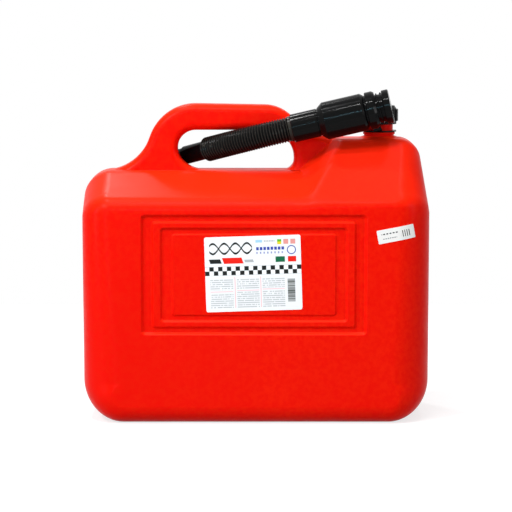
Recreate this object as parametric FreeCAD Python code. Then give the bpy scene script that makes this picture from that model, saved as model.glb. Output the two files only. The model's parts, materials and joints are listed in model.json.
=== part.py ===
"""Ten-litre fuel can with its flexible pouring spout stowed through the handle.

Lengths are millimetres. The can stands on z = 0 with the middle of its base at the origin, X runs
along the can towards the filler neck, Y through its thickness towards the back, and Z is up.
"""
import FreeCAD, Part
import math
import os
from FreeCAD import Vector

# ---------------------------------------------------------------- driving dimensions
# Blow-moulded shell
can_length = 340.0
can_thickness = 150.0
wall = 2.0
deck_height = 244.5            # narrow flat along the top, under the handle
shoulder_drop = 26.2           # from the deck to where face and shoulder would meet without rounding
shoulder_pitch = 25.5          # degrees up from level
end_top_round = 28.0          # the plain end's edges under the deck
end_low_round = 40.0           # both ends' edges at the base
lean_fold_round = 34.0         # the filler end's corners where it starts to lean
shoulder_round = 17.0
deck_round = 30.0
base_round = 18.0

# Raised end that carries the filler neck
hump_rise = 31.3               # above the deck
hump_half_width = 24.0
hump_corner_drop = 59.8        # from the hump's top to where face and slope would meet
hump_corner_round = 10.0
hump_top_round = 12.0
hump_edge_round = 14.0
hump_end_round = 22.0
hump_length = 128.5            # from the filler end to where the hump leaves the deck beside the handle
flank_pitch = 45.8             # degrees up from level
flank_skew = 34.8              # degrees that the flank turns towards the face
flank_round = 8.0
lean_below_corner = 11.0       # from there upwards the filler end of the can leans inwards
lean_angle = 8.3

# Handle
handle_thickness = 30.0
bar_depth = 26.0
handle_edge_round = 8.0
grip_height = 39.3             # of the hand hole, from the deck to the bar
grip_length = 115.2
grip_from_hump = 4.0           # from the hand hole to the foot of the hump
grip_top_left_round = 18.0
grip_bottom_left_round = 28.0
grip_top_right_round = 27.5
grip_bottom_right_round = 10.0
crown_from_grip = 17.7         # from the hand hole's plain end to the middle of the crown's curve
crown_round = 48.0
foot_round = 49.0
foot_bite = 0.4                # how far the foot's curve runs into the shell's rounded end
bar_end_from_hump = 32.7       # from the foot of the hump to where the bar starts to fall
bar_fall = 1.0                 # degrees
neck_side_round = 38.0
neck_side_fall = 36.0          # degrees
neck_side_run = 33.5
neck_side_foot_round = 18.0
neck_side_foot_fall = 10.0     # degrees
neck_side_foot_run = 14.0

# Stepped panel on both faces, and the hollow under the base (widths and heights at mid-slope)
panel_from_middle = -1.9
panel_below_shoulder = 71.3    # its middle, under the shoulder's corner
panel_size = (217.0, 115.0)
rib_outer_size = (197.0, 103.0)
rib_inner_size = (180.4, 90.4)
plate_size = (159.0, 79.2)
panel_depth = 2.6
rib_drop = 0.5                 # the rib's top lies this far under the face
plate_drop = 1.3               # and so does the plate's
panel_corner = 3.0
base_hollow_size = (250.0, 90.0)
base_hollow_depth = 2.5

# Filler neck and its thread, which the cap, the spout's nut and the storage plug share
neck_from_end = 47.8
neck_radius = 13.8
neck_bore_radius = 11.6
neck_rise = 29.2               # above the hump
neck_flare_radius = 21.5
neck_waist_radius = 14.8
bead_radius = 15.8
bead_rise = 3.2                # above the hump
bead_height = 3.0
thread_root_radius = 13.8
thread_crest_radius = 15.2
thread_clearance = 0.25
thread_pitch = 4.0
thread_base_width = 2.2
thread_tip_width = 1.1
neck_thread_rise = 10.0        # above the bead
neck_thread_turns = 1.5

# Screw cap and its sealing disc
cap_reach = 15.4               # down from the neck's top
cap_cover = 2.8                # up from there
cap_radius = 17.3
cap_lobe_radius = 19.0
cap_lobes = 6
cap_groove_width = 3.5
cap_lobe_margins = (2.8, 3.4)  # plain bands under and over the lobes
cap_shoulder_radius = 15.2
cap_thread_turns = 1.25
cap_stud_radius = 4.0
cap_stud_head_radius = 5.2
cap_stud_height = 1.8
cap_stud_head_height = 1.2
liner_radius = 15.2
liner_thickness = 1.0

# Tether of the cap
tether_thickness = 1.3
tether_width = 7.6
tether_ring_radius = 17.2
tether_eye_radius = 8.6
tether_gap = 0.3

# Stowed spout: a stiff end beside the neck, a bellows that bends, and a nozzle behind the handle.
# Stations are measured from the storage plug's flat end, along the spout.
spout_end_from_neck = Vector(9.7, -40.8, 0)
spout_end_below_handle_top = 0.3
spout_yaw = 4.5                # degrees towards the back, going left
spout_dip = 13.3               # degrees down, going left
nozzle_yaw = 41.2
nozzle_dip = 13.6
plug_flange_radius = 16.7
plug_flange_length = 6.8
plug_bore_radius = 11.5
plug_end = 19.6
plug_thread_start = 8.2
plug_thread_turns = 2.4
nut_start = 14.1
nut_end = 23.4
nut_radius = 18.3
nut_face_radius = 16.8
nut_bevel = 2.3
nut_lip = 1.2
nut_thread_turns = 0.7
nut_thread_phase = 118.0       # degrees
swivel_radius = 14.3
swivel_flange_radius = 15.1
swivel_flange = (20.8, 22.0)
gasket_bore_radius = 11.2
barrel_start = 25.0
barrel_end = 66.1
barrel_radius = 18.5
barrel_bevel = 2.3
barrel_bevel_length = 3.0
barrel_bore_radius = 16.7
cone_end = 71.6
cone_end_radius = 14.2
spigot_radius = 10.6
spigot_bore_radius = 9.0
spigot_end = 98.0
sleeve_start = 72.6
sleeve_end = 99.2
sleeve_radius = 13.9
cuff_radius = 12.6
cuff_start = 75.0
cuff_end = 102.0
fit = 0.1                      # radial gap between the sleeve, the cuff and the spigot
bellows_crest_radius = 12.3
bellows_valley_radius = 11.0
bellows_wall = 0.8
bellows_straight = 2.0
bellows_bend_length = 90.0
bellows_folds = 34
nozzle_overlap = 6.0           # how far the nozzle reaches into the bellows
nozzle_collar_radius = 9.2
nozzle_collar_length = 30.0
nozzle_radius = 7.9
nozzle_length = 26.0
nozzle_bore_radius = 6.4

# Labels
label_thickness = 0.2
label_size = (93.4, 73.2)
label_from_panel = (-0.7, 1.5)
label_tilt = 1.8               # degrees
label_corner = 2.0
sticker_size = (36.4, 13.3)
sticker_from_end = 34.4
sticker_below_corner = 29.1    # its middle, under the hump's corner
sticker_tilt = 10.7

# Places that follow from the sizes above
left_end = -can_length / 2
right_end = can_length / 2
front = -can_thickness / 2
neck_x = right_end - neck_from_end
flank_foot_x = right_end - hump_length
grip_right_x = flank_foot_x - grip_from_hump
grip_left_x = grip_right_x - grip_length
crown_x = grip_left_x + crown_from_grip
bar_underside = deck_height + grip_height
handle_top = bar_underside + bar_depth
shoulder_corner_height = deck_height - shoulder_drop
hump_height = deck_height + hump_rise
hump_corner_height = hump_height - hump_corner_drop
lean_height = hump_corner_height - lean_below_corner
panel_centre = (panel_from_middle, shoulder_corner_height - panel_below_shoulder)
neck_top = hump_height + neck_rise
bead_bottom = hump_height + bead_rise
bead_top = bead_bottom + bead_height
neck_thread_start = bead_top + neck_thread_rise
cap_bottom = neck_top - cap_reach
cap_top = neck_top + cap_cover
cap_lobe_bottom = cap_bottom + cap_lobe_margins[0]
cap_lobe_top = cap_top - cap_lobe_margins[1]
spout_end = spout_end_from_neck + Vector(neck_x, 0, handle_top - spout_end_below_handle_top)
label_centre = (panel_centre[0] + label_from_panel[0], panel_centre[1] + label_from_panel[1])
sticker_centre = (right_end - sticker_from_end, hump_corner_height - sticker_below_corner)

work = FreeCAD.newDocument("can")


# ---------------------------------------------------------------- small helpers
def rad(degrees):
    return math.radians(degrees)


def near(a, b):
    return abs(a - b) < 0.02


def prism_along_x(points, x_start, x_end):
    """Extrude a (y, z) outline along X."""
    corners = [Vector(x_start, y, z) for y, z in points]
    face = Part.Face(Part.makePolygon(corners + corners[:1]))
    return face.extrude(Vector(x_end - x_start, 0, 0))


def half_space(normal, point, size=1500.0):
    """A block that fills the side of a plane that its normal points to."""
    block = Part.makeBox(size, size, size, Vector(-size / 2, -size / 2, 0))
    block.Placement = FreeCAD.Placement(point, FreeCAD.Rotation(Vector(0, 0, 1), normal))
    return block


def round_edges(solid, radius_of):
    """Fillet edges in one go; radius_of(start, end) gives 0, a radius or a (start, end) pair."""
    base = work.addObject("Part::Feature", "base")
    base.Shape = solid
    feature = work.addObject("Part::Fillet", "rounded")
    feature.Base = base
    chosen = []
    for number, edge in enumerate(solid.Edges, 1):
        radius = radius_of(edge.Vertexes[0].Point, edge.Vertexes[-1].Point)
        if isinstance(radius, tuple):
            chosen.append((number,) + radius)
        elif radius:
            chosen.append((number, radius, radius))
    feature.Edges = chosen
    work.recompute()
    return feature.Shape.copy()


def on_circle(centre, radius, degrees):
    """A point (x, z) on a circle, by the angle from +X towards +Z."""
    return (centre[0] + radius * math.cos(rad(degrees)), centre[1] + radius * math.sin(rad(degrees)))


def circles_meet(centre_a, radius_a, centre_b, radius_b):
    """The upper of the two points where circles cross."""
    dx, dz = centre_b[0] - centre_a[0], centre_b[1] - centre_a[1]
    gap = math.hypot(dx, dz)
    along = (gap ** 2 + radius_a ** 2 - radius_b ** 2) / (2 * gap)
    across = math.sqrt(radius_a ** 2 - along ** 2)
    found = [(centre_a[0] + (along * dx + side * across * dz) / gap,
              centre_a[1] + (along * dz - side * across * dx) / gap) for side in (1, -1)]
    return max(found, key=lambda point: point[1])


def angle_to(centre, point):
    return math.degrees(math.atan2(point[1] - centre[1], point[0] - centre[0]))


class Outline:
    """A closed outline of lines and arcs in the XZ plane, drawn pen-wise."""

    def __init__(self, start):
        self.first = start
        self.pen = start
        self.edges = []

    @staticmethod
    def at(point):
        return Vector(point[0], 0, point[1])

    def line(self, point):
        if math.dist(self.pen, point) > 1e-6:
            self.edges.append(Part.LineSegment(self.at(self.pen), self.at(point)).toShape())
        self.pen = point
        return self

    def arc(self, centre, radius, start_angle, end_angle):
        self.line(on_circle(centre, radius, start_angle))
        middle = on_circle(centre, radius, (start_angle + end_angle) / 2)
        end = on_circle(centre, radius, end_angle)
        self.edges.append(Part.Arc(self.at(self.pen), self.at(middle), self.at(end)).toShape())
        self.pen = end
        return self

    def slab(self, half_thickness):
        self.line(self.first)
        face = Part.Face(Part.Wire(self.edges))
        face.translate(Vector(0, -half_thickness, 0))
        return face.extrude(Vector(0, 2 * half_thickness, 0))


def revolved(profile):
    """Turn a closed (radius, height) outline about the Z axis."""
    points = [Vector(radius, 0, height) for radius, height in profile]
    face = Part.Face(Part.makePolygon(points + points[:1]))
    return face.revolve(Vector(0, 0, 0), Vector(0, 0, 1), 360)


def thread(root, crest, start, turns, phase=0.0):
    """One helical ridge about Z, from the root radius to the crest radius (inwards or outwards)."""
    height = turns * thread_pitch
    helix = Part.makeHelix(thread_pitch, height, root)
    base, tip = thread_base_width / 2, thread_tip_width / 2
    profile = Part.makePolygon([Vector(root, 0, -base), Vector(crest, 0, -tip), Vector(crest, 0, tip),
                                Vector(root, 0, base), Vector(root, 0, -base)])
    ridge = Part.Wire(helix.Edges).makePipeShell([Part.Wire(profile.Edges)], True, True)
    ridge.rotate(Vector(0, 0, 0), Vector(0, 0, 1), phase)
    ridge.translate(Vector(0, 0, start))
    return ridge


# ---------------------------------------------------------------- shell forms, each also drawn inset for the cavity
def main_form(inset):
    """The long body: flat faces, low shoulders and a narrow deck, rounded at its plain end."""
    pitch = rad(shoulder_pitch)
    half = can_thickness / 2 - inset
    corner = shoulder_corner_height - inset * (1 - math.sin(pitch)) / math.cos(pitch)
    top = deck_height - inset
    deck_half = half - (top - corner) / math.tan(pitch)
    left = left_end + inset
    section = [(-half, inset), (half, inset), (half, corner), (deck_half, top), (-deck_half, top),
               (-half, corner)]

    def radius_of(a, b):
        if near(a.x, b.x):
            if not near(a.x, left):
                return 0
            if near(a.z, b.z):
                return (end_top_round if near(a.z, top) else end_low_round) - inset
            if min(a.z, b.z) > inset + 1:
                return end_top_round - inset
            ends = (end_low_round - inset, end_top_round - inset)
            return ends if a.z < b.z else ends[::-1]
        if near(a.z, corner):
            return shoulder_round - inset
        if near(a.z, top):
            return deck_round - inset
        return base_round - inset

    return round_edges(prism_along_x(section, left, neck_x), radius_of)


def flank_normal(side):
    pitch, skew = rad(flank_pitch), rad(flank_skew)
    return Vector(-math.sin(pitch) * math.cos(skew), side * math.sin(pitch) * math.sin(skew), math.cos(pitch))


def filler_form(inset):
    """The filler end: the same faces with a raised, steep-sided hump that leans in at the end."""
    half = can_thickness / 2 - inset
    top = hump_height - inset
    steep = math.atan2(hump_height - hump_corner_height, can_thickness / 2 - hump_half_width)
    corner = hump_corner_height - inset * (1 - math.sin(steep)) / math.cos(steep)
    right = right_end - inset
    left = 0.0
    lean = Vector(math.cos(rad(lean_angle)), 0, math.sin(rad(lean_angle)))
    lean_point = Vector(right_end, 0, lean_height) - lean * inset
    block = Part.makeBox(right - left, 2 * half, top - inset, Vector(left, -half, inset))
    for side in (-1, 1):
        slope = Vector(0, side * math.sin(steep), math.cos(steep))
        slope_point = Vector(0, side * hump_half_width, hump_height) - slope * inset
        block = block.cut(half_space(slope, slope_point))
        flank = flank_normal(side)
        flank_point = Vector(flank_foot_x, side * handle_thickness / 2, deck_height) - flank * inset
        block = block.cut(half_space(flank, flank_point))
    block = block.cut(half_space(lean, lean_point)).removeSplitter()

    def at_end(p):
        return near(p.x, right) or near((p - lean_point).dot(lean), 0)

    def radius_of(a, b):
        if near(a.x, left) and near(b.x, left):
            return 0
        low, high = sorted((a.z, b.z))
        if at_end(a) and at_end(b):
            if near(low, top):
                return hump_end_round - inset
            if near(low, high):
                return end_low_round - inset if near(low, inset) else 0
            rounds = [end_low_round if near(z, inset) else hump_end_round if near(z, top) else lean_fold_round
                      for z in (a.z, b.z)]
            return (rounds[0] - inset, rounds[1] - inset)
        if near(low, corner) and near(high, corner):
            return hump_corner_round - inset
        if near(low, top):
            return (hump_top_round if near(a.y, b.y) else flank_round) - inset
        if near(high, inset):
            return base_round - inset
        return hump_edge_round - inset if near(high, top) and abs(a.y) > 1 else 0

    return round_edges(block, radius_of)


def handle_form(inset):
    """The handle: a rounded bar on two legs that flare into the shell."""
    end_centre = (left_end + end_top_round, deck_height - end_top_round)
    crown_centre = (crown_x, handle_top - crown_round)
    foot_centre = circles_meet(end_centre, end_top_round + foot_round - foot_bite,
                               crown_centre, crown_round + foot_round)
    foot_end = angle_to(foot_centre, crown_centre)
    foot_start = angle_to(foot_centre, end_centre) - 1.0
    level = 90.0 - bar_fall
    bar_start = on_circle(crown_centre, crown_round, level)
    bar_end_x = flank_foot_x - bar_end_from_hump
    bar_end = (bar_end_x, bar_start[1] - (bar_end_x - bar_start[0]) * math.tan(rad(bar_fall)))
    side_centre = on_circle(bar_end, neck_side_round, level - 180)
    steep = 90.0 - neck_side_fall
    side_end = on_circle(side_centre, neck_side_round, steep)
    run_end = (side_end[0] + neck_side_run * math.cos(rad(neck_side_fall)),
               side_end[1] - neck_side_run * math.sin(rad(neck_side_fall)))
    toe_centre = on_circle(run_end, neck_side_foot_round, steep)
    shallow = 90.0 - neck_side_foot_fall
    outline = Outline((foot_centre[0], deck_height / 2))
    outline.arc(foot_centre, foot_round + inset, foot_start, foot_end)
    outline.arc(crown_centre, crown_round - inset, foot_end + 180, level)
    outline.arc(side_centre, neck_side_round - inset, level, steep)
    outline.arc(toe_centre, neck_side_foot_round + inset, steep + 180, shallow + 180)
    toe = outline.pen
    outline.line((toe[0] + neck_side_foot_run * math.cos(rad(neck_side_foot_fall)),
                  toe[1] - neck_side_foot_run * math.sin(rad(neck_side_foot_fall))))
    outline.line((outline.pen[0], deck_height / 2))
    plate = outline.slab(handle_thickness / 2 - inset).cut(grip_slab(inset, can_thickness))
    low = deck_height - 12.0

    def radius_of(a, b):
        level_edge = near(a.y, b.y) and near(abs(a.y), handle_thickness / 2 - inset)
        return handle_edge_round - inset if level_edge and min(a.z, b.z) > low else 0

    return round_edges(plate, radius_of)


def grip_slab(inset, thickness):
    """The hand hole under the bar; its floor is the deck."""
    top_left = (grip_left_x + grip_top_left_round, bar_underside - grip_top_left_round)
    drop = deck_height + grip_bottom_left_round - top_left[1]
    reach = math.sqrt((grip_bottom_left_round - grip_top_left_round) ** 2 - drop ** 2)
    bottom_left = (top_left[0] + reach, deck_height + grip_bottom_left_round)
    top_right = (grip_right_x - grip_top_right_round, bar_underside - grip_top_right_round)
    bottom_right = (grip_right_x - grip_bottom_right_round, deck_height + grip_bottom_right_round)
    turn = angle_to(bottom_left, top_left) % 360
    outline = Outline(on_circle(top_left, grip_top_left_round + inset, 90))
    outline.arc(top_left, grip_top_left_round + inset, 90, turn)
    outline.arc(bottom_left, grip_bottom_left_round + inset, turn, 270)
    outline.arc(bottom_right, grip_bottom_right_round + inset, 270, 360)
    outline.arc(top_right, grip_top_right_round + inset, 0, 90)
    return outline.slab(thickness / 2)


def framed(size, corner):
    """A rounded rectangle about the origin of the XY plane."""
    half_x, half_y = size[0] / 2, size[1] / 2
    edges = []
    for turn, (sx, sy) in enumerate(((1, 1), (-1, 1), (-1, -1), (1, -1))):
        centre = Vector(sx * (half_x - corner), sy * (half_y - corner), 0)
        start, middle, end = [centre + Vector(corner * math.cos(rad(a)), corner * math.sin(rad(a)), 0)
                              for a in (90 * turn, 90 * turn + 45, 90 * turn + 90)]
        edges.append(Part.Arc(start, middle, end).toShape())
    sides = [Part.LineSegment(edges[i - 1].valueAt(edges[i - 1].LastParameter),
                              edges[i].valueAt(edges[i].FirstParameter)).toShape() for i in range(4)]
    return Part.Wire([edge for pair in zip(sides, edges) for edge in pair])


def step(size, low, high, grow=0.0, flare=0):
    """A plate with 45 degree sides from z = low to high; flare 1 widens upwards, -1 narrows."""
    rise = (high - low) / 2
    wires = []
    for level, side in ((low, -1), (high, 1)):
        spread = 2 * (grow + flare * side * rise)
        wire = framed((size[0] + spread, size[1] + spread), panel_corner + spread / 2)
        wire.translate(Vector(0, 0, level))
        wires.append(wire)
    return Part.makeLoft(wires, True, True)


def panel_hollow(inset):
    """The air of one stepped panel, drawn as if the face were the plane z = 0 and z pointed out of it."""
    grow = inset * math.tan(rad(22.5))
    floor = -inset - panel_depth
    hollow = step(panel_size, floor, -inset, grow, 1)
    lid = step((panel_size[0] + panel_depth, panel_size[1] + panel_depth), -inset, 1.0 - inset, grow)
    rib = step(rib_outer_size, floor, -inset - rib_drop, -grow, -1)
    rib = rib.cut(step(rib_inner_size, floor, -inset - rib_drop, grow, 1))
    plate = step(plate_size, floor, -inset - plate_drop, -grow, -1)
    return hollow.cut(rib).cut(plate).fuse(lid)


def shell_form(inset):
    form = main_form(inset).fuse([filler_form(inset), handle_form(inset)]).removeSplitter()
    for side in (-1, 1):
        air = panel_hollow(inset)
        turn = FreeCAD.Rotation(Vector(1, 0, 0), 90 if side < 0 else -90)
        air.Placement = FreeCAD.Placement(Vector(panel_centre[0], side * can_thickness / 2, panel_centre[1]), turn)
        form = form.cut(air)
    grow = inset * math.tan(rad(22.5))
    hollow = step(base_hollow_size, inset, inset + base_hollow_depth, grow, -1)
    lid = step((base_hollow_size[0] + base_hollow_depth, base_hollow_size[1] + base_hollow_depth),
               inset - 1.0, inset, grow)
    return form.cut(hollow).cut(lid)


# ---------------------------------------------------------------- can
def at_neck(shape):
    shape.translate(Vector(neck_x, 0, 0))
    return shape


def neck_thread():
    return thread(thread_root_radius - 0.3, thread_crest_radius, neck_thread_start, neck_thread_turns)


def can_body():
    shell = shell_form(0.0).cut(shell_form(wall))
    base = hump_height - wall
    neck = revolved([(neck_bore_radius, base), (neck_flare_radius, base), (neck_flare_radius, hump_height),
                     (neck_waist_radius, bead_bottom - 1.0), (neck_waist_radius, bead_bottom),
                     (bead_radius, bead_bottom + 0.8), (bead_radius, bead_top - 0.8),
                     (bead_radius - 0.8, bead_top), (neck_radius, bead_top), (neck_radius, neck_top - 0.6),
                     (neck_radius - 0.6, neck_top), (neck_bore_radius, neck_top)])
    neck = neck.fuse(neck_thread())
    bore = Part.makeCylinder(neck_bore_radius, 2 * wall + 2, Vector(0, 0, base - wall))
    return shell.cut(at_neck(bore)).fuse(at_neck(neck))


def screw_cap():
    ceiling = neck_top + liner_thickness
    bore = thread_crest_radius + thread_clearance
    shell = revolved([(bore, cap_bottom), (cap_radius, cap_bottom), (cap_radius, cap_lobe_top + 0.4),
                      (cap_shoulder_radius, cap_top), (0, cap_top), (0, ceiling), (bore, ceiling)])
    lobes = revolved([(cap_radius - 0.3, cap_lobe_bottom), (cap_lobe_radius - 0.5, cap_lobe_bottom),
                      (cap_lobe_radius, cap_lobe_bottom + 0.5), (cap_lobe_radius, cap_lobe_top - 0.5),
                      (cap_lobe_radius - 0.5, cap_lobe_top), (cap_radius - 0.3, cap_lobe_top)])
    for i in range(cap_lobes):
        groove = Part.makeBox(cap_radius, cap_groove_width, 2 * (cap_top - cap_bottom),
                              Vector(cap_radius, -cap_groove_width / 2, cap_bottom - 5))
        groove.rotate(Vector(0, 0, 0), Vector(0, 0, 1), (i + 0.5) * 360 / cap_lobes)
        lobes = lobes.cut(groove)
    stud = revolved([(0, cap_top - 0.5), (cap_stud_radius, cap_top - 0.5), (cap_stud_radius, cap_top + cap_stud_height),
                     (cap_stud_head_radius, cap_top + cap_stud_height),
                     (cap_stud_head_radius - 1.0, cap_top + cap_stud_height + cap_stud_head_height),
                     (0, cap_top + cap_stud_height + cap_stud_head_height)])
    ridge = thread(bore + 0.3, thread_root_radius + thread_clearance,
                   neck_thread_start + thread_pitch / 2, cap_thread_turns)
    return at_neck(shell.fuse([lobes, stud, ridge]))


def cap_liner():
    return at_neck(Part.makeCylinder(liner_radius, liner_thickness, Vector(0, 0, neck_top)))


def strap_section(angle, radius, height, lean, direction):
    """A rectangle across the strap: lean tips its outer side from down (-90) to up (90)."""
    out = Vector(math.cos(rad(angle)), math.sin(rad(angle)), 0)
    normal = out * math.cos(rad(lean)) + Vector(0, 0, math.sin(rad(lean)))
    centre = out * radius + Vector(0, 0, height)
    across = normal.cross(direction)
    across.normalize()
    across, normal = across * (tether_width / 2), normal * (tether_thickness / 2)
    corners = [centre + across + normal, centre - across + normal, centre - across - normal,
               centre + across - normal]
    return Part.makePolygon(corners + corners[:1])


def cap_tether():
    """A flat ring on the neck's bead, a strap up round the cap, and an eye on the cap's stud."""
    ring_mid = bead_top + tether_thickness / 2
    eye_mid = cap_top + 0.2 + tether_thickness / 2
    reach = cap_lobe_radius + 0.5 + tether_thickness / 2
    path = [(-94, 16.0, ring_mid, -90), (-94, 18.0, ring_mid + 0.1, -78), (-95, reach - 0.4, ring_mid + 1.5, -35),
            (-99, reach, ring_mid + 4.0, -4), (-107, reach, ring_mid + 8.5, 0), (-116, reach, ring_mid + 13.5, 0),
            (-124, reach, ring_mid + 18.0, 2), (-131, reach - 0.2, ring_mid + 21.8, 14),
            (-137, reach - 1.4, ring_mid + 25.0, 40), (-141, 15.8, ring_mid + 26.8, 68),
            (-144, 12.0, eye_mid + 0.5, 86), (-145, 7.0, eye_mid, 90)]
    points = [Vector(r * math.cos(rad(a)), r * math.sin(rad(a)), z) for a, r, z, lean in path]
    sections = []
    for i, (angle, radius, height, lean) in enumerate(path):
        direction = points[min(i + 1, len(path) - 1)] - points[max(i - 1, 0)]
        sections.append(strap_section(angle, radius, height, lean, direction))
    strap = Part.makeLoft(sections, True, True)
    ring = Part.makeCylinder(tether_ring_radius, tether_thickness, Vector(0, 0, bead_top))
    ring = ring.cut(Part.makeCylinder(neck_radius + tether_gap, 3.0, Vector(0, 0, bead_top - 1)))
    eye = Part.makeCylinder(tether_eye_radius, tether_thickness, Vector(0, 0, cap_top + 0.2))
    strap = strap.cut(Part.makeCylinder(cap_stud_radius + tether_gap, 20.0, Vector(0, 0, cap_top - 5)))
    eye = eye.cut(Part.makeCylinder(cap_stud_radius + tether_gap, 5.0, Vector(0, 0, cap_top - 1)))
    strap = strap.cut(Part.makeCylinder(neck_radius + tether_gap, 9.0, Vector(0, 0, bead_top - 4)))
    return at_neck(ring.fuse([eye, strap]))


# ---------------------------------------------------------------- spout
def heading(yaw, dip):
    return Vector(-math.cos(rad(dip)) * math.cos(rad(yaw)), math.cos(rad(dip)) * math.sin(rad(yaw)),
                  -math.sin(rad(dip)))


spout_axis = heading(spout_yaw, spout_dip)
nozzle_axis = heading(nozzle_yaw, nozzle_dip)
bend_axis = spout_axis.cross(nozzle_axis).normalize()
bend_angle = spout_axis.getAngle(nozzle_axis)
bend_radius = bellows_bend_length / bend_angle
bend_start = spout_end + spout_axis * (cuff_end + bellows_straight)
bend_centre = bend_start + bend_axis.cross(spout_axis) * bend_radius


def along_bellows(distance):
    """Where a ring drawn about Z sits on the bellows' centre line, by its distance from the cuff's end."""
    upright = FreeCAD.Rotation(Vector(0, 0, 1), spout_axis)
    if distance <= bellows_straight:
        return FreeCAD.Placement(spout_end + spout_axis * (cuff_end + distance), upright)
    swing = FreeCAD.Rotation(bend_axis, math.degrees((distance - bellows_straight) / bend_radius))
    return FreeCAD.Placement(bend_centre + swing.multVec(bend_start - bend_centre), swing * upright)


bellows_length = bellows_straight + bellows_bend_length
nozzle_root = along_bellows(bellows_length).Base


def on_axis(shape, origin, direction):
    """Place a shape drawn along Z so that its origin and Z axis land on a line."""
    shape.Placement = FreeCAD.Placement(origin, FreeCAD.Rotation(Vector(0, 0, 1), direction))
    return shape


def storage_plug():
    body = revolved([(plug_bore_radius, 2.0), (plug_bore_radius, plug_end), (thread_root_radius, plug_end),
                     (thread_root_radius, plug_flange_length), (plug_flange_radius - 0.6, plug_flange_length),
                     (plug_flange_radius, plug_flange_length - 0.6), (plug_flange_radius, 0.8),
                     (plug_flange_radius - 0.8, 0), (0, 0), (0, 2.0)])
    ridge = thread(thread_root_radius - 0.3, thread_crest_radius, plug_thread_start, plug_thread_turns)
    return on_axis(body.fuse(ridge), spout_end, spout_axis)


def spout_ring_nut():
    bore = thread_crest_radius + thread_clearance
    body = revolved([(bore, nut_start), (nut_face_radius, nut_start), (nut_radius, nut_start + nut_bevel),
                     (nut_radius, nut_end - 0.6), (nut_radius - 0.6, nut_end), (swivel_radius + 0.2, nut_end),
                     (swivel_radius + 0.2, nut_end - nut_lip), (bore, nut_end - nut_lip)])
    start = plug_thread_start + thread_pitch * (1.5 + nut_thread_phase / 360)
    ridge = thread(bore + 0.3, thread_root_radius + thread_clearance, start, nut_thread_turns, nut_thread_phase)
    return on_axis(body.fuse(ridge), spout_end, spout_axis)


def spout_gasket():
    disc = revolved([(gasket_bore_radius, plug_end), (swivel_flange_radius, plug_end),
                     (swivel_flange_radius, swivel_flange[0]), (gasket_bore_radius, swivel_flange[0])])
    return on_axis(disc, spout_end, spout_axis)


def spout_adapter():
    """Swivel flange, barrel and cone in one tube, ending in the spigot that the bellows grips."""
    body = revolved([(gasket_bore_radius, swivel_flange[0]), (swivel_flange_radius, swivel_flange[0]),
                     (swivel_flange_radius, swivel_flange[1]), (swivel_radius, swivel_flange[1]),
                     (swivel_radius, nut_end + 0.3), (barrel_radius - barrel_bevel - 0.6, nut_end + 0.3),
                     (barrel_radius - barrel_bevel - 0.6, barrel_start), (barrel_radius - barrel_bevel, barrel_start),
                     (barrel_radius, barrel_start + barrel_bevel_length), (barrel_radius, barrel_end),
                     (cone_end_radius, cone_end), (sleeve_radius - 0.7, cone_end),
                     (sleeve_radius - 0.7, cuff_start - 0.6), (spigot_radius, cuff_start - 0.6),
                     (spigot_radius, spigot_end), (spigot_bore_radius, spigot_end),
                     (spigot_bore_radius, cone_end + 1.0), (barrel_bore_radius, barrel_end - 0.6),
                     (barrel_bore_radius, barrel_start + 1.6), (gasket_bore_radius, barrel_start + 0.6)])
    return on_axis(body, spout_end, spout_axis)


def spout_sleeve():
    inner = cuff_radius + fit
    lip = sleeve_radius - 0.7 + fit
    body = revolved([(lip, sleeve_start), (sleeve_radius - 0.4, sleeve_start), (sleeve_radius, sleeve_start + 0.4),
                     (sleeve_radius, sleeve_end - 0.6), (sleeve_radius - 0.6, sleeve_end), (inner, sleeve_end),
                     (inner, cuff_start - 0.3), (lip, cuff_start - 0.3)])
    return on_axis(body, spout_end, spout_axis)


def spout_bellows():
    """A plain cuff, then a folded tube along the bent centre line."""
    cuff = revolved([(spigot_radius + fit, cuff_start), (cuff_radius, cuff_start), (cuff_radius, cuff_end),
                     (bellows_valley_radius - bellows_wall, cuff_end),
                     (bellows_valley_radius - bellows_wall, cuff_end - 1.2), (spigot_radius + fit, cuff_end - 3.0)])
    cuff = on_axis(cuff, spout_end, spout_axis)
    stations = 2 * bellows_folds + 1
    skins = []
    for depth in (0.0, bellows_wall):
        rings = []
        for i in range(stations):
            radius = bellows_crest_radius if i % 2 else bellows_valley_radius
            ring = Part.Wire(Part.makeCircle(radius - depth))
            ring.Placement = along_bellows(bellows_length * i / (stations - 1))
            rings.append(ring)
        skins.append(Part.makeLoft(rings, True, True))
    return cuff.fuse(skins[0].cut(skins[1]))


def spout_nozzle():
    inside = bellows_valley_radius - bellows_wall - 0.3
    step_at = nozzle_collar_length
    tip = nozzle_collar_length + nozzle_length
    body = revolved([(nozzle_bore_radius, -nozzle_overlap), (inside, -nozzle_overlap), (inside, 0.4),
                     (nozzle_collar_radius, 0.4), (nozzle_collar_radius, step_at - 0.5),
                     (nozzle_collar_radius - 0.5, step_at), (nozzle_radius, step_at),
                     (nozzle_radius, tip - 0.8), (nozzle_radius - 0.8, tip), (nozzle_bore_radius, tip)])
    return on_axis(body, nozzle_root, nozzle_axis)


# ---------------------------------------------------------------- labels
def tilted(size, corner, centre, tilt, y_start, depth):
    """A rounded rectangle standing in the XZ plane, turned anticlockwise as seen from the front."""
    face = Part.Face(framed(size, corner))
    block = face.extrude(Vector(0, 0, depth))
    turn = FreeCAD.Rotation(Vector(1, 0, 0), 90) * FreeCAD.Rotation(Vector(0, 0, 1), tilt)
    block.Placement = FreeCAD.Placement(Vector(centre[0], y_start, centre[1]), turn)
    return block


def front_label():
    return tilted(label_size, label_corner, label_centre, label_tilt, front + plate_drop, label_thickness)


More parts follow.
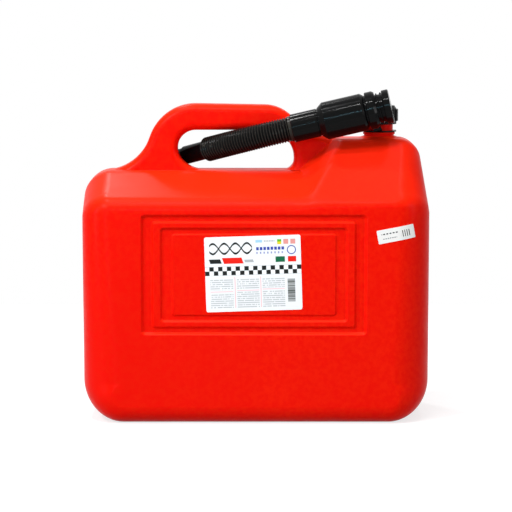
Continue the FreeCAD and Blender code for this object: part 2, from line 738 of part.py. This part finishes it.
def side_sticker():
    """A thin patch that bends round the can's vertical corner."""
    skin = filler_form(-label_thickness).cut(filler_form(0.0))
    patch = tilted(sticker_size, 1.0, sticker_centre, sticker_tilt, 0.0, can_thickness)
    return skin.common(patch).removeSplitter()


parts = [can_body, screw_cap, cap_liner, cap_tether, spout_nozzle, spout_bellows, spout_adapter,
         spout_sleeve, spout_ring_nut, spout_gasket, storage_plug, front_label, side_sticker]
os.makedirs("parts", exist_ok=True)
for maker in parts:
    shape = maker()
    if len(shape.Solids) == 1:
        shape = shape.Solids[0]
    print(maker.__name__, shape.isValid(), shape.ShapeType, len(shape.Solids), len(shape.Faces), round(shape.Volume, 1))
    shape.exportStep("parts/" + maker.__name__ + ".step")
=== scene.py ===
"""Looks of the fuel can: moulded red shell, black spout and cap, printed labels, studio and camera."""
import json
import math

import bpy
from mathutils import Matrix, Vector

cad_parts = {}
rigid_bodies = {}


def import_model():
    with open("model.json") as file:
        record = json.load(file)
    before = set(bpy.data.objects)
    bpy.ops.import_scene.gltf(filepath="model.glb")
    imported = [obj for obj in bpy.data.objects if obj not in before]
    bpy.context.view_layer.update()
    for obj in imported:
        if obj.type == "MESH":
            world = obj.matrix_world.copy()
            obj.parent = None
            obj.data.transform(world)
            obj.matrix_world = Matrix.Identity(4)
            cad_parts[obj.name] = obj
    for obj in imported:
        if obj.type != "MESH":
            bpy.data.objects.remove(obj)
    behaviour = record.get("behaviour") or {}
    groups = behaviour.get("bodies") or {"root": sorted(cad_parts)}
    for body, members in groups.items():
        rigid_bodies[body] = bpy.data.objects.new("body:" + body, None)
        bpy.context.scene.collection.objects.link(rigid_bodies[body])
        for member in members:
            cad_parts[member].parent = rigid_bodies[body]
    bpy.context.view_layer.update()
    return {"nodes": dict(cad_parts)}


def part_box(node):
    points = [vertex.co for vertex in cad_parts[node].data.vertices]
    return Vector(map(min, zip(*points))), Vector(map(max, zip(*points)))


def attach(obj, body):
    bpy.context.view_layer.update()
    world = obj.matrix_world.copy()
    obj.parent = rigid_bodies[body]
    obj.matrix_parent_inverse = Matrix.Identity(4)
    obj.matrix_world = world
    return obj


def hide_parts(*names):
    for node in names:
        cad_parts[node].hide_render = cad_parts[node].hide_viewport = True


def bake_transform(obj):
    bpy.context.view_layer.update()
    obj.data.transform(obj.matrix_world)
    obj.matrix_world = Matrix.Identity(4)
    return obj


MM = 0.001

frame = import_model()

# Lengths are in millimetres and angles in degrees, unless a comment says otherwise.
LABEL_TILT = 1.8       # anticlockwise, seen from the front
STICKER_TILT = 10.7
CREASE = 32            # edges that turn by more than this stay sharp on most pieces
TETHER_CREASE = 45
BELLOWS_CREASE = 60
WELD = 0.002           # corners of loose triangles closer than this become one

FOLD_TURN = 25         # edges of the bellows that turn by more than this are rounded
FOLD_ROUNDING = 0.16

FOOT_LOW = (28, 28, 210)     # the worked zone round the foot of the hump, the same on either face
FOOT_HIGH = (112, 76, 254)
FOOT_FADE = (16, 6, 6)       # the way over which the smoothing starts and stops
FOOT_PITCH = 4
FOOT_FLATNESS = 0.3
FOOT_ROUNDS = 80
FOOT_FACING = 0.1            # an outer face's normal has more than this upwards and outwards together


def centre_of(node):
    low, high = (Vector(corner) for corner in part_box(node))
    return (low + high) / 2


# ---------------------------------------------------------------- modelling helpers
def take(obj):
    """Select one object alone and make it active."""
    bpy.ops.object.select_all(action="DESELECT")
    obj.hide_set(False)
    obj.select_set(True)
    bpy.context.view_layer.objects.active = obj


def finish_mesh(obj, crease):
    """Smooth shading with creases kept, and flat faces left flat."""
    take(obj)
    bpy.ops.object.shade_smooth_by_angle(angle=math.radians(crease))
    modifier = obj.modifiers.new("even shading", "WEIGHTED_NORMAL")
    modifier.keep_sharp = True
    bpy.ops.object.modifier_apply(modifier=modifier.name)


def skin_of(node, name, material, crease=CREASE, shape=None):
    """A closed, smooth-shaded copy of a CAD node in its own material; shape may work on it first."""
    take(frame["nodes"][node])
    bpy.ops.object.duplicate()
    skin = bpy.context.view_layer.objects.active
    skin.name = skin.data.name = name
    bpy.ops.object.parent_clear(type="CLEAR_KEEP_TRANSFORM")
    bpy.ops.object.mode_set(mode="EDIT")
    bpy.ops.mesh.select_all(action="SELECT")
    bpy.ops.mesh.customdata_custom_splitnormals_clear()
    bpy.ops.mesh.remove_doubles(threshold=WELD * MM)
    bpy.ops.object.mode_set(mode="OBJECT")
    if shape:
        shape(skin)
    finish_mesh(skin, crease)
    skin.data.materials.clear()
    skin.data.materials.append(material)
    return skin


def dress(node, name, body, material, shape=None):
    """A rigid piece that rides on one body and stands for its CAD node."""
    skin = skin_of(node, name, material, shape=shape)
    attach(skin, body)
    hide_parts(node)


# ---------------------------------------------------------------- the foot of the hump
def looks_out(normal, side):
    return side * normal.y + normal.z > FOOT_FACING


def show_foot_faces(skin, side):
    """In edit mode, hide all but the outer faces that reach into the worked zone on one side of the can."""
    mesh = skin.data
    for item in (mesh.vertices, mesh.edges):
        item.foreach_set("select", [False] * len(item))
    chosen = []
    for face in mesh.polygons:
        corners = [mesh.vertices[i].co / MM for i in face.vertices]
        spans = ([c.x for c in corners], [side * c.y for c in corners], [c.z for c in corners])
        limits = zip(spans, FOOT_LOW, FOOT_HIGH)
        reaches_in = all(max(span) > low and min(span) < high for span, low, high in limits)
        chosen.append(reaches_in and looks_out(face.normal, side))
    mesh.polygons.foreach_set("select", chosen)
    bpy.ops.object.mode_set(mode="EDIT")
    bpy.ops.mesh.select_mode(type="FACE")
    bpy.ops.mesh.hide(unselected=True)


def lay_foot_grid(side):
    """Merge the shown faces into flats and cut them along an even grid."""
    bpy.ops.mesh.dissolve_limited(angle_limit=math.radians(FOOT_FLATNESS), delimit={"NORMAL"})
    for axis in range(3):
        normal = [float(axis == i) for i in range(3)]
        sign = side if axis == 1 else 1
        for place in range(FOOT_LOW[axis], FOOT_HIGH[axis], FOOT_PITCH):
            bpy.ops.mesh.select_all(action="SELECT")
            bpy.ops.mesh.bisect(plane_co=[sign * place * MM * n for n in normal], plane_no=normal)
    bpy.ops.mesh.reveal(select=False)
    bpy.ops.object.mode_set(mode="OBJECT")


def foot_weight(place):
    """One well inside the worked zone and none at its borders, except where the can's face ends it."""
    weight = 1.0
    for axis in range(3):
        from_low = (place[axis] - FOOT_LOW[axis]) / FOOT_FADE[axis]
        from_high = (FOOT_HIGH[axis] - place[axis]) / FOOT_FADE[axis] if axis != 1 else 1.0
        weight *= min(max(min(from_low, from_high), 0.0), 1.0)
    return weight


def soften_hump_foot(skin):
    """Lay an even grid over the foot of the hump and melt its valley and ridge into the shoulder."""
    take(skin)
    for side in (-1, 1):
        show_foot_faces(skin, side)
        lay_foot_grid(side)
    group = skin.vertex_groups.new(name="hump foot")
    for vertex in skin.data.vertices:
        weight = foot_weight((vertex.co.x / MM, abs(vertex.co.y) / MM, vertex.co.z / MM))
        if weight > 0 and looks_out(vertex.normal, math.copysign(1.0, vertex.co.y)):
            group.add([vertex.index], weight, "REPLACE")
    smoothing = skin.modifiers.new("melted foot", "SMOOTH")
    smoothing.factor = 0.5
    smoothing.iterations = FOOT_ROUNDS
    smoothing.vertex_group = group.name
    bpy.ops.object.modifier_apply(modifier=smoothing.name)
    skin.vertex_groups.clear()


# ---------------------------------------------------------------- material helpers
PLASTIC_IOR = 1.5
RED_GLOSS = 0.045
BLACK_GLOSS = 0.065
PRINT_GLOSS = 0.1


def rgb(red, green, blue):
    return (red, green, blue, 1.0)


class Nodes:
    """A new material's node tree, with short calls for the nodes used here."""

    def __init__(self, name):
        self.material = bpy.data.materials.new(name)
        self.material.use_nodes = True
        self.tree = self.material.node_tree
        self.shader = self.tree.nodes["Principled BSDF"]
        self.place = self.tree.nodes.new("ShaderNodeTexCoord").outputs["Object"]

    def add(self, kind, **settings):
        node = self.tree.nodes.new("ShaderNode" + kind)
        for key, value in settings.items():
            setattr(node, key, value)
        return node

    def feed(self, socket, value):
        if isinstance(value, bpy.types.NodeSocket):
            self.tree.links.new(value, socket)
        else:
            socket.default_value = value

    def surface(self, **values):
        """Set or link the shader's own sockets, named with underscores for spaces."""
        for name, value in values.items():
            self.feed(self.shader.inputs[name.replace("_", " ")], value)

    def math(self, operation, *values):
        node = self.add("Math", operation=operation)
        for socket, value in zip(node.inputs, values):
            self.feed(socket, value)
        return node.outputs[0]

    def split(self, vector):
        node = self.add("SeparateXYZ")
        self.feed(node.inputs[0], vector)
        return node.outputs

    def noise(self, scale, detail=2.0, roughness=0.5, stretch=(1, 1, 1)):
        """Noise with features about one over scale metres wide."""
        mapping = self.add("Mapping")
        self.feed(mapping.inputs["Vector"], self.place)
        mapping.inputs["Scale"].default_value = stretch
        node = self.add("TexNoise")
        self.feed(node.inputs["Vector"], mapping.outputs[0])
        node.inputs["Scale"].default_value = scale
        node.inputs["Detail"].default_value = detail
        node.inputs["Roughness"].default_value = roughness
        return node.outputs[0]

    def span(self, value, low, high, to_low=0.0, to_high=1.0):
        """Carry the stretch from low to high over to another one, and clamp it there."""
        node = self.add("MapRange")
        for socket, number in zip(node.inputs[:5], (value, low, high, to_low, to_high)):
            self.feed(socket, number)
        return node.outputs[0]

    def haze(self, noise, roughness, spread):
        """Roughness that wanders by the spread, upwards from its lowest value."""
        return self.span(noise, 0.3, 0.7, roughness, roughness + spread)

    def mix(self, amount, first, second):
        node = self.add("Mix", data_type="RGBA")
        self.feed(node.inputs[0], amount)
        self.feed(node.inputs[6], first)
        self.feed(node.inputs[7], second)
        return node.outputs[2]

    def bump(self, height, distance, strength=1.0, under=None):
        """Raise the surface by a distance in millimetres where the height is one."""
        node = self.add("Bump")
        self.feed(node.inputs["Height"], height)
        node.inputs["Strength"].default_value = strength
        node.inputs["Distance"].default_value = distance * MM
        if under is not None:
            self.feed(node.inputs["Normal"], under)
        return node.outputs[0]


class Print(Nodes):
    """A printed film: flat inks laid over one another, placed in millimetres from the film's middle."""

    def __init__(self, name, centre, tilt, film):
        super().__init__(name)
        board = self.add("Mapping", vector_type="TEXTURE")
        self.feed(board.inputs["Vector"], self.place)
        board.inputs["Location"].default_value = (centre.x, 0, centre.z)
        board.inputs["Rotation"].default_value = (0, -math.radians(tilt), 0)
        board.inputs["Scale"].default_value = (MM, MM, MM)
        place = self.split(board.outputs[0])
        self.u, self.v = place["X"], place["Z"]
        self.colour = film

    def within(self, value, low, high):
        return self.math("COMPARE", value, (low + high) / 2, (high - low) / 2)

    def stroke(self, value, middle, width):
        return self.within(value, middle - width / 2, middle + width / 2)

    def block(self, left, right, low, high, slant=0.0):
        """A rectangle, or with a slant a parallelogram; a slant under zero leans it to the left."""
        u = self.u
        if slant:
            u = self.math("SUBTRACT", u, self.math("MULTIPLY", self.v, slant))
            left, right = left - slant * (low + high) / 2, right - slant * (low + high) / 2
        return self.math("MULTIPLY", self.within(u, left, right), self.within(self.v, low, high))

    def from_point(self, u, v):
        across, up = self.math("SUBTRACT", self.u, u), self.math("SUBTRACT", self.v, v)
        squares = (self.math("POWER", across, 2.0), self.math("POWER", up, 2.0))
        return self.math("SQRT", self.math("ADD", *squares))

    def steps(self, value, pitch):
        return self.math("FLOOR", self.math("DIVIDE", value, pitch))

    def repeat(self, value, pitch, share):
        """Stripes across a value, each taking a share of the pitch."""
        return self.math("LESS_THAN", self.math("FRACT", self.math("DIVIDE", value, pitch)), share)

    def ink(self, colour, *masks):
        """Lay an ink where all the masks hold."""
        mask = masks[0]
        for other in masks[1:]:
            mask = self.math("MULTIPLY", mask, other)
        self.colour = self.mix(mask, self.colour, colour)

    def finish(self, roughness):
        """A dull film that follows the slightly wavy wall under it."""
        self.surface(
            Base_Color=self.colour,
            Roughness=self.haze(self.noise(50), roughness, 0.12),
            Specular_IOR_Level=PRINT_GLOSS,
            Normal=self.bump(self.noise(70), 0.25, 0.35),
        )
        return self.material


# ---------------------------------------------------------------- moulded plastic and rubber
DEEP_RED = rgb(0.76, 0.006, 0.0005)
FLOW_RED = rgb(0.81, 0.0095, 0.0009)
MOTTLE_RED = rgb(0.77, 0.002, 0.0003)
# Painted light: a lighter, more orange red for faces that point up, standing in for light falling from
# above.
PAINTED_TOP_LIGHT_RED = rgb(0.86, 0.02, 0.003)
MOTTLE_SHARE = 0.75
RED_DEPTH = (0.006, 0.001, 0.0006)   # how far each colour of light creeps through the wall, in metres
RED_GLOW = 0.05                      # the share of the light that does
EDGE_ROUNDING = 1.0
SEAM_REACH = 0.5                     # the parting line's half width
SEAM_HEIGHT = 0.12

BLACK = rgb(0.0015, 0.0015, 0.0018)
# Painted highlights: lighter blacks mixed in on convex edges and crests, strongest on the bellows' crests.
SPOUT_EDGE_HIGHLIGHT = rgb(0.003, 0.003, 0.003)
BELLOWS_CREST_HIGHLIGHT = rgb(0.04, 0.035, 0.028)
CAP_EDGE_HIGHLIGHT = rgb(0.006, 0.006, 0.006)


def moulded_red():
    """Pigmented polyethylene: faint flow marks, a fine orange peel and the mould's parting line, with
    painted light making up-facing faces a lighter, more orange red.
    """
    n = Nodes("moulded red polyethylene")
    flow = n.span(n.noise(9, 3.0, stretch=(1, 1, 0.35)), 0.35, 0.65)
    even = n.mix(flow, DEEP_RED, FLOW_RED)
    mottle = n.span(n.noise(230, 3.0, 0.65), 0.4, 0.6)
    fresh = n.mix(n.math("MULTIPLY", mottle, MOTTLE_SHARE), even, MOTTLE_RED)
    # Painted light: the more a face points up, the more it takes the lighter top red, as if lit from above.
    painted_top_light = n.span(n.split(n.add("NewGeometry").outputs["Normal"])["Z"], 0.1, 0.9)
    across = n.math("ABSOLUTE", n.split(n.place)["Y"])
    seam = n.span(across, 0.0, SEAM_REACH * MM, 1.0, 0.0)
    rounded = n.add("Bevel", samples=8)
    rounded.inputs["Radius"].default_value = EDGE_ROUNDING * MM
    peel = n.bump(n.noise(320), 0.05, 0.5, rounded.outputs[0])
    n.surface(
        Base_Color=n.mix(painted_top_light, fresh, PAINTED_TOP_LIGHT_RED),
        Roughness=n.haze(n.noise(60, 4.0), 0.3, 0.08),
        IOR=PLASTIC_IOR,
        Specular_IOR_Level=RED_GLOSS,
        Subsurface_Weight=RED_GLOW,
        Subsurface_Radius=RED_DEPTH,
        Subsurface_Scale=1.0,
        Normal=n.bump(seam, SEAM_HEIGHT, 0.7, peel),
    )
    return n.material


def moulded_black(name, roughness, grain, painted_edge_highlight):
    """Black plastic with a soft gloss, a fine moulded grain, and a painted highlight: convex edges and
    crests are mixed towards a lighter shade.
    """
    n = Nodes(name)
    # Painted highlight: convex edges and crests, found by pointiness, take the lighter colour.
    edges = n.span(n.add("NewGeometry").outputs["Pointiness"], 0.5, 0.56)
    n.surface(
        Base_Color=n.mix(edges, BLACK, painted_edge_highlight),
        Roughness=n.haze(n.noise(90, 3.0), roughness, 0.04),
        IOR=PLASTIC_IOR,
        Specular_IOR_Level=BLACK_GLOSS,
        Normal=n.bump(n.noise(900), grain, 0.4),
    )
    return n.material


def seal_rubber():
    n = Nodes("seal rubber")
    n.surface(
        Base_Color=n.mix(n.noise(400), rgb(0.02, 0.02, 0.02), rgb(0.035, 0.035, 0.035)),
        Roughness=0.7,
        Normal=n.bump(n.noise(1500), 0.03),
    )
    return n.material


# ---------------------------------------------------------------- prints
BLACK_INK = rgb(0.012, 0.014, 0.013)
GREY_INK = rgb(0.42, 0.43, 0.44)
PINK_INK = rgb(0.86, 0.5, 0.52)
RED_INK = rgb(0.80, 0.016, 0.008)
GREEN_INK = rgb(0.01, 0.13, 0.055)
BLUE_INK = rgb(0.035, 0.06, 0.36)
FADED_BLUE_INK = rgb(0.3, 0.32, 0.55)
SKY_INK = rgb(0.35, 0.6, 0.8)
YELLOW_INK = rgb(0.75, 0.62, 0.02)
LEAF_INK = rgb(0.12, 0.45, 0.02)
CORAL_INK = rgb(0.75, 0.3, 0.27)
HAIRLINE_INK = rgb(0.35, 0.36, 0.36)
RULE_INK = rgb(0.5, 0.51, 0.52)
LABEL_FILM = rgb(0.83, 0.83, 0.84)
STICKER_FILM = rgb(0.80, 0.77, 0.74)

PRINT_LEFT = -42.0
BRAID_RIGHT = -0.5
BRAID_MIDDLE = 25.0
BRAID_PITCH = 22.0
BRAID_SWING = 5.0
BRAID_THICKNESS = 2.0
BAR_SLANT = -0.35
ROW_LEFT, ROW_RIGHT = 3.0, 31.0     # the blue rows, which stand on one pitch
ROW_PITCH = 3.5
BAND_MIDDLE = 3.2
SQUARE = 4.25
HAIRLINE = 0.24
COLUMNS = (                         # left, right and the height of the pink line
    (PRINT_LEFT, -19.8, -17.0),
    (-16.2, 5.4, -16.2),
    (8.6, 30.2, -15.4),
)
COLUMN_TOP, COLUMN_FOOT = -4.2, -33.0
RULE_PITCH = 2.05
RULE_CELL = 0.7                     # the shortest piece of a broken rule
RULE_GAPS = 0.16                    # the share of cells left blank
PINK_LINE = 0.7
LINE_ROOM = 1.4                     # bare film on either side of a pink line
DIVIDERS = (-18.0, 7.0)
DIVIDER_WIDTH = 0.8
STRIPE_PITCH = 0.9


def print_braid_and_bars(p):
    for phase in (0.0, 0.5):
        along = p.math("ADD", p.u, BRAID_PITCH * phase)
        wave = p.math("SINE", p.math("MULTIPLY", along, math.tau / BRAID_PITCH))
        strand = p.math("SUBTRACT", p.v, p.math("MULTIPLY", wave, BRAID_SWING))
        over_strand = p.stroke(strand, BRAID_MIDDLE, BRAID_THICKNESS)
        p.ink(BLACK_INK, over_strand, p.within(p.u, PRINT_LEFT, BRAID_RIGHT))
    p.ink(BLACK_INK, p.block(PRINT_LEFT, -31.0, 10.6, 14.8, BAR_SLANT))
    p.ink(RED_INK, p.block(-29.0, -10.0, 10.2, 16.0, BAR_SLANT))
    p.ink(GREY_INK, p.block(-8.0, 0.5, 11.2, 13.8, BAR_SLANT))


def print_chips(p):
    p.ink(SKY_INK, p.block(ROW_LEFT, 9.5, 30.0, 32.6))
    p.ink(GREY_INK, p.block(11.0, 21.5, 30.6, 32.0), p.repeat(p.u, 1.6, 0.7))
    p.ink(BLUE_INK, p.within(p.from_point(37.6, 22.2), 3.5, 4.4))
    p.ink(BLUE_INK, p.block(ROW_LEFT, ROW_RIGHT, 22.6, 25.6), p.repeat(p.u, ROW_PITCH, 0.72))
    p.ink(FADED_BLUE_INK, p.block(ROW_LEFT, ROW_RIGHT, 19.0, 21.0), p.repeat(p.u, ROW_PITCH, 0.4))
    p.ink(YELLOW_INK, p.block(24.0, 28.0, 27.8, 32.8))
    p.ink(LEAF_INK, p.block(24.0, 28.0, 30.4, 32.8))
    for left in (30.0, 36.8):
        p.ink(CORAL_INK, p.block(left, left + 4.8, 28.0, 32.8))
    p.ink(GREEN_INK, p.block(22.0, ROW_RIGHT, 10.6, 16.0))
    p.ink(RED_INK, p.block(34.0, 42.0, 10.6, 16.0))


def print_chequer_band(p):
    """Two rows of squares, with a hairline round each."""
    band = p.within(p.v, BAND_MIDDLE - SQUARE, BAND_MIDDLE + SQUARE)
    column = p.repeat(p.u, 2 * SQUARE, 0.5)
    row = p.math("GREATER_THAN", p.v, BAND_MIDDLE)
    p.ink(rgb(0.9, 0.9, 0.9), band)
    p.ink(BLACK_INK, band, p.math("COMPARE", column, row, 0.1))
    p.ink(HAIRLINE_INK, band, p.repeat(p.math("ADD", p.u, HAIRLINE / 2), SQUARE, HAIRLINE / SQUARE))
    for edge in (-SQUARE, 0.0, SQUARE):
        p.ink(HAIRLINE_INK, p.stroke(p.v, BAND_MIDDLE + edge, HAIRLINE))


def print_columns(p):
    """Columns of broken grey rules, each parted by a pink line, with pink dividers between them."""
    cells = p.add("CombineXYZ")
    p.feed(cells.inputs[0], p.steps(p.u, RULE_CELL))
    p.feed(cells.inputs[1], p.steps(p.v, RULE_PITCH))
    speckle = p.add("TexWhiteNoise", noise_dimensions="2D")
    p.feed(speckle.inputs["Vector"], cells.outputs[0])
    broken = p.math("GREATER_THAN", speckle.outputs[0], RULE_GAPS)
    rules = p.math("MULTIPLY", p.repeat(p.v, RULE_PITCH, 0.5), broken)
    for left, right, line in COLUMNS:
        p.ink(RULE_INK, p.block(left, right, line + LINE_ROOM, COLUMN_TOP), rules)
        p.ink(RULE_INK, p.block(left, right, COLUMN_FOOT, line - LINE_ROOM), rules)
        p.ink(PINK_INK, p.block(left, right, line - PINK_LINE / 2, line + PINK_LINE / 2))
    for divider in DIVIDERS:
        p.ink(PINK_INK, p.stroke(p.u, divider, DIVIDER_WIDTH), p.within(p.v, COLUMN_FOOT, -3.0))


def print_stripes(p):
    """A block of uneven dark and pale stripes beside the columns."""
    stripes = p.add("TexNoise", noise_dimensions="1D")
    p.feed(stripes.inputs["W"], p.math("MULTIPLY", p.steps(p.v, STRIPE_PITCH), 0.77))
    stripes.inputs["Scale"].default_value = 1.0
    shade = p.mix(p.span(stripes.outputs[0], 0.35, 0.6), rgb(0.06, 0.07, 0.06), rgb(0.45, 0.46, 0.46))
    p.ink(shade, p.block(33.0, 40.2, -28.6, -6.0))


def printed_label():
    """A plain house design: braid and bars, colour chips, a chequer band and columns of grey rules."""
    p = Print("printed label film", centre_of("front_label"), LABEL_TILT, LABEL_FILM)
    print_braid_and_bars(p)
    print_chips(p)
    print_chequer_band(p)
    print_columns(p)
    print_stripes(p)
    return p.finish(0.38)


def printed_sticker():
    """A small white sticker with two rows of plain dashes and a block of upright bars."""
    p = Print("printed sticker film", centre_of("side_sticker"), STICKER_TILT, STICKER_FILM)
    p.ink(rgb(0.05, 0.05, 0.05), p.block(-14.0, 2.0, 1.4, 2.6), p.repeat(p.u, 3.1, 0.62))
    p.ink(rgb(0.05, 0.05, 0.05), p.block(5.0, 13.5, -3.6, 2.8), p.repeat(p.u, 2.1, 0.4))
    p.ink(rgb(0.2, 0.2, 0.2), p.block(-14.0, 0.5, -3.0, -2.1), p.repeat(p.u, 2.2, 0.66))
    return p.finish(0.45)


# ---------------------------------------------------------------- pieces
def tether(material):
    """The tether, baked in place and tied to no body: its ring stays on the neck, and its strap does not
    follow the cap.
    """
    strap = skin_of("cap_tether", "tether", material, TETHER_CREASE)
    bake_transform(strap)
    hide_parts("cap_tether")


def round_folds(tube):
    """Round the crests and roots of the bellows, from an all-smooth start."""
    finish_mesh(tube, 180)
    rounding = tube.modifiers.new("rounded folds", "BEVEL")
    rounding.limit_method = "ANGLE"
    rounding.angle_limit = math.radians(FOLD_TURN)
    rounding.width = FOLD_ROUNDING * MM
    rounding.segments = 2
    bpy.ops.object.modifier_apply(modifier=rounding.name)


def bellows(material):
    """The folded tube between the spout and the nozzle, baked in place; nothing here makes it bend."""
    tube = skin_of("spout_bellows", "bellows", material, BELLOWS_CREASE, round_folds)
    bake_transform(tube)
    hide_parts("spout_bellows")


shell_red = moulded_red()
spout_black = moulded_black("spout black", 0.12, 0.003, SPOUT_EDGE_HIGHLIGHT)
bellows_black = moulded_black("flexible bellows black", 0.2, 0.008, BELLOWS_CREST_HIGHLIGHT)
cap_black = moulded_black("cap black", 0.2, 0.015, CAP_EDGE_HIGHLIGHT)
seal = seal_rubber()
label_film = printed_label()
sticker_film = printed_sticker()

dress("can_body", "shell", "can", shell_red, soften_hump_foot)
dress("screw_cap", "cap", "cap", cap_black)
dress("cap_liner", "cap_disc_seal", "cap_disc", seal)
dress("front_label", "label", "can", label_film)
dress("side_sticker", "sticker", "can", sticker_film)
dress("spout_adapter", "adapter", "spout", spout_black)
dress("spout_sleeve", "sleeve", "spout", spout_black)
dress("spout_ring_nut", "ring_nut", "nut", spout_black)
dress("storage_plug", "plug", "plug", spout_black)
dress("spout_gasket", "gasket", "spout", seal)
dress("spout_nozzle", "nozzle_tube", "nozzle", spout_black)
tether(cap_black)
bellows(bellows_black)

# ---------------------------------------------------------------- studio and camera, in metres and watts
WORLD_LIGHT = 0.25
FLOOR_SIZE = 1.6
FLOOR_DROP = 0.3 * MM    # under the can's foot, so that the two faces never meet
FLOOR_GREY = 0.35
FLOOR_WHITE = 0.72       # the rest of the way from that grey, as lit, to white for rays that look at it

LOOK_AT = Vector((0, 0, 0.1572))
CAMERA_DISTANCE = 2.4
CAMERA_RISE = math.radians(6.5)
CAMERA_LENS = 168.75     # millimetres, as is the sensor
CAMERA_SENSOR = 36

CAN_MIDDLE = (0, 0, 0.16)
LEFT_SHOULDER = (-0.1, 0, 0.2)
BACK_SHOULDER = (-0.1, 0, 0.22)
HUMP = (0.1, 0, 0.25)
SPOUT = (0, 0, 0.25)
WHITE = (1, 1, 1)
DAYLIGHT = (0.9, 0.95, 1.0)
WINDOW_LIGHT = (0.8, 0.93, 1.0)
COLD_GLINT = (0.35, 0.8, 1.0)
LAMPS = (   # name, place, what it points at, width and height, power, colour
    ("key", (-0.83, -1.02, 1.2), CAN_MIDDLE, (0.2, 0.2), 14, WHITE),
    ("left overhead", (-0.42, -0.25, 1.55), LEFT_SHOULDER, (0.1, 0.1), 7, WHITE),
    ("right overhead", (0.42, -0.3, 1.6), HUMP, (0.15, 0.15), 3, WHITE),
    ("back left overhead", (-0.36, 0.72, 1.42), BACK_SHOULDER, (0.2, 0.2), 6, WHITE),
    ("front strip", (-0.1, -0.85, 1.5), CAN_MIDDLE, (0.5, 0.022), 8, WHITE),
    ("front window", (-0.85, -2.1, 0.35), CAN_MIDDLE, (0.07, 0.8), 6, WINDOW_LIGHT),
    ("spout glint", (-0.15, -2.2, 0.8), SPOUT, (0.5, 0.025), 5, COLD_GLINT),
    ("left strip", (-1.5, -0.8, 0.45), CAN_MIDDLE, (0.12, 0.9), 7, DAYLIGHT),
    ("right strip", (1.5, -0.8, 0.6), CAN_MIDDLE, (0.2, 0.8), 5, WHITE),
)


def shown(tree):
    """One for rays that look at a thing, straight or by reflection, and zero for light that falls on it."""
    path = tree.nodes.new("ShaderNodeLightPath")
    total = path.outputs["Is Camera Ray"]
    for kind in ("Is Glossy Ray", "Is Transmission Ray"):
        either = tree.nodes.new("ShaderNodeMath")
        either.operation = "MAXIMUM"
        tree.links.new(total, either.inputs[0])
        tree.links.new(path.outputs[kind], either.inputs[1])
        total = either.outputs[0]
    return total


def surroundings():
    """An even dim light from all round, which looks white."""
    world = bpy.data.worlds.new("studio")
    bpy.context.scene.world = world
    world.use_nodes = True
    tree = world.node_tree
    light = tree.nodes["Background"]
    light.inputs["Color"].default_value = rgb(1, 1, 1)
    light.inputs["Strength"].default_value = WORLD_LIGHT
    backdrop = tree.nodes.new("ShaderNodeBackground")
    backdrop.inputs["Color"].default_value = rgb(1, 1, 1)
    backdrop.inputs["Strength"].default_value = 1.0
    blend = tree.nodes.new("ShaderNodeMixShader")
    tree.links.new(shown(tree), blend.inputs[0])
    tree.links.new(light.outputs[0], blend.inputs[1])
    tree.links.new(backdrop.outputs[0], blend.inputs[2])
    tree.links.new(blend.outputs[0], tree.nodes["World Output"].inputs[0])


def white_floor():
    """A floor that takes the can's shadow and looks white around it."""
    bpy.ops.mesh.primitive_plane_add(size=FLOOR_SIZE, location=(0, 0, -FLOOR_DROP))
    floor = bpy.context.object
    floor.name = "floor"
    n = Nodes("white floor")
    n.surface(
        Base_Color=rgb(FLOOR_GREY, FLOOR_GREY, FLOOR_GREY),
        Roughness=0.9,
        Emission_Color=rgb(1, 1, 1),
        Emission_Strength=n.math("MULTIPLY", shown(n.tree), FLOOR_WHITE),
    )
    floor.data.materials.append(n.material)


def lamp(name, place, target, size, power, colour):
    data = bpy.data.lights.new(name, "AREA")
    data.shape = "RECTANGLE"
    data.size, data.size_y = size
    data.energy = power
    data.color = colour
    obj = bpy.data.objects.new(name, data)
    bpy.context.collection.objects.link(obj)
    obj.location = place
    obj.rotation_euler = (Vector(target) - Vector(place)).to_track_quat("-Z", "Y").to_euler()


def front_camera():
    data = bpy.data.cameras.new("camera")
    data.lens = CAMERA_LENS
    data.sensor_width = CAMERA_SENSOR
    camera = bpy.data.objects.new("camera", data)
    bpy.context.collection.objects.link(camera)
    back_and_up = Vector((0, -math.cos(CAMERA_RISE), math.sin(CAMERA_RISE)))
    camera.location = LOOK_AT + CAMERA_DISTANCE * back_and_up
    camera.rotation_euler = (math.radians(90) - CAMERA_RISE, 0, 0)
    bpy.context.scene.camera = camera


surroundings()
white_floor()
for settings in LAMPS:
    lamp(*settings)
front_camera()
bpy.context.scene.view_settings.view_transform = "Standard"
